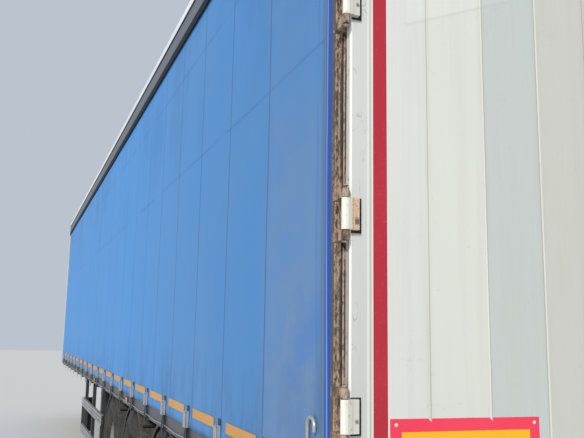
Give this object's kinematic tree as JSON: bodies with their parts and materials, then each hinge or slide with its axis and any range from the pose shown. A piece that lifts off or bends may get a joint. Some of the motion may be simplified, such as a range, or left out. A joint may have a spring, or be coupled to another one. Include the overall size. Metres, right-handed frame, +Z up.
{
  "type": "curtain-sided semi trailer",
  "caption": "Three-axle curtain-sided semi trailer on landing legs, with swinging rear doors, side guards, kingpin and air suspension.",
  "frame": {"origin": "on the ground, midway between the rear buffers and the front wall, on the centre line", "axes": "+X to the front, +Y to the left side, +Z up"},
  "size_m": [13.69, 2.55, 4],
  "materials": {
    "chassis_paint": "satin, dusty",
    "rave_paint": "satin, dusty",
    "deck_plywood": "worn phenolic film",
    "bare_steel": "rusty and greased",
    "white_panel": "satin, dusty",
    "frame_paint": "rusted through its paint",
    "rail_aluminium": "dull",
    "roof_sheet": "satin",
    "curtain_cloth": "coated cloth, faint sheen",
    "strap_webbing": "woven",
    "buckle_steel": "zinc plated",
    "black_rubber": "matt",
    "black_plastic": "matt",
    "guard_aluminium": "dull, dusty",
    "lamp_lens": "clear over red",
    "leg_paint": "satin, chipped",
    "tank_paint": "satin",
    "door_paint": "aged white lacquer",
    "hinge_paint": "white, chipped",
    "lock_steel": "zinc plated",
    "tyre_rubber": "matt, dusty",
    "rim_paint": "silver, dusty"
  },
  "bodies": {
    "trailer": {"main_beams": "chassis_paint", "crossmembers": "chassis_paint", "outriggers": "chassis_paint", "side_rave_left": "rave_paint", "side_rave_right": "rave_paint", "floor_deck": "deck_plywood", "coupling_plate": "chassis_paint", "kingpin": "bare_steel", "front_wall": "white_panel", "rear_frame": "frame_paint", "rear_header": "frame_paint", "rear_sill": "frame_paint", "hinge_lugs": "bare_steel", "cant_rail_left": "rail_aluminium", "cant_rail_right": "rail_aluminium", "roof_cover": "roof_sheet", "roof_bows": "rail_aluminium", "curtain_left": "curtain_cloth", "curtain_right": "curtain_cloth", "curtain_straps": "strap_webbing", "curtain_buckles": "buckle_steel", "curtain_poles": "rail_aluminium", "curtain_tensioners": "buckle_steel", "side_pillars": "rail_aluminium", "side_slats": "rail_aluminium", "axles": "chassis_paint", "trailing_arms": "chassis_paint", "suspension_hangers": "chassis_paint", "air_springs": "black_rubber", "mudguards": "black_plastic", "spray_flaps": "black_rubber", "side_guards": "guard_aluminium", "side_guard_posts": "chassis_paint", "underrun_bar": "chassis_paint", "lamp_beam": "chassis_paint", "rear_lamps": "lamp_lens", "rear_buffers": "black_rubber", "landing_legs": "leg_paint", "landing_crank": "leg_paint", "air_tanks": "tank_paint", "side_markers": "lamp_lens"},
    "door_left": {"door_left_panel": "door_paint", "door_left_hinges": "hinge_paint", "door_left_lock": "lock_steel"},
    "door_right": {"door_right_panel": "door_paint", "door_right_hinges": "hinge_paint", "door_right_lock": "lock_steel"},
    "wheel_front_left": {"tyre_front_left": "tyre_rubber", "rim_front_left": "rim_paint"},
    "wheel_front_right": {"tyre_front_right": "tyre_rubber", "rim_front_right": "rim_paint"},
    "wheel_middle_left": {"tyre_middle_left": "tyre_rubber", "rim_middle_left": "rim_paint"},
    "wheel_middle_right": {"tyre_middle_right": "tyre_rubber", "rim_middle_right": "rim_paint"},
    "wheel_rear_left": {"tyre_rear_left": "tyre_rubber", "rim_rear_left": "rim_paint"},
    "wheel_rear_right": {"tyre_rear_right": "tyre_rubber", "rim_rear_right": "rim_paint"}
  },
  "joints": [
    {"name": "door_left_swing", "type": "hinge", "parent": "trailer", "child": "door_left", "pos_m": [-6.767, 1.263, 2.45], "axis": [0, 0, 1], "range_deg": [-270, 0]},
    {"name": "door_right_swing", "type": "hinge", "parent": "trailer", "child": "door_right", "pos_m": [-6.767, -1.263, 2.45], "axis": [0, 0, 1], "range_deg": [0, 270]},
    {"name": "wheel_front_left_spin", "type": "hinge", "parent": "trailer", "child": "wheel_front_left", "pos_m": [-1.145, 1.02, 0.535], "axis": [0, 1, 0], "continuous": true},
    {"name": "wheel_front_right_spin", "type": "hinge", "parent": "trailer", "child": "wheel_front_right", "pos_m": [-1.145, -1.02, 0.535], "axis": [0, 1, 0], "continuous": true},
    {"name": "wheel_middle_left_spin", "type": "hinge", "parent": "trailer", "child": "wheel_middle_left", "pos_m": [-2.455, 1.02, 0.535], "axis": [0, 1, 0], "continuous": true},
    {"name": "wheel_middle_right_spin", "type": "hinge", "parent": "trailer", "child": "wheel_middle_right", "pos_m": [-2.455, -1.02, 0.535], "axis": [0, 1, 0], "continuous": true},
    {"name": "wheel_rear_left_spin", "type": "hinge", "parent": "trailer", "child": "wheel_rear_left", "pos_m": [-3.765, 1.02, 0.535], "axis": [0, 1, 0], "continuous": true},
    {"name": "wheel_rear_right_spin", "type": "hinge", "parent": "trailer", "child": "wheel_rear_right", "pos_m": [-3.765, -1.02, 0.535], "axis": [0, 1, 0], "continuous": true}
  ]
}
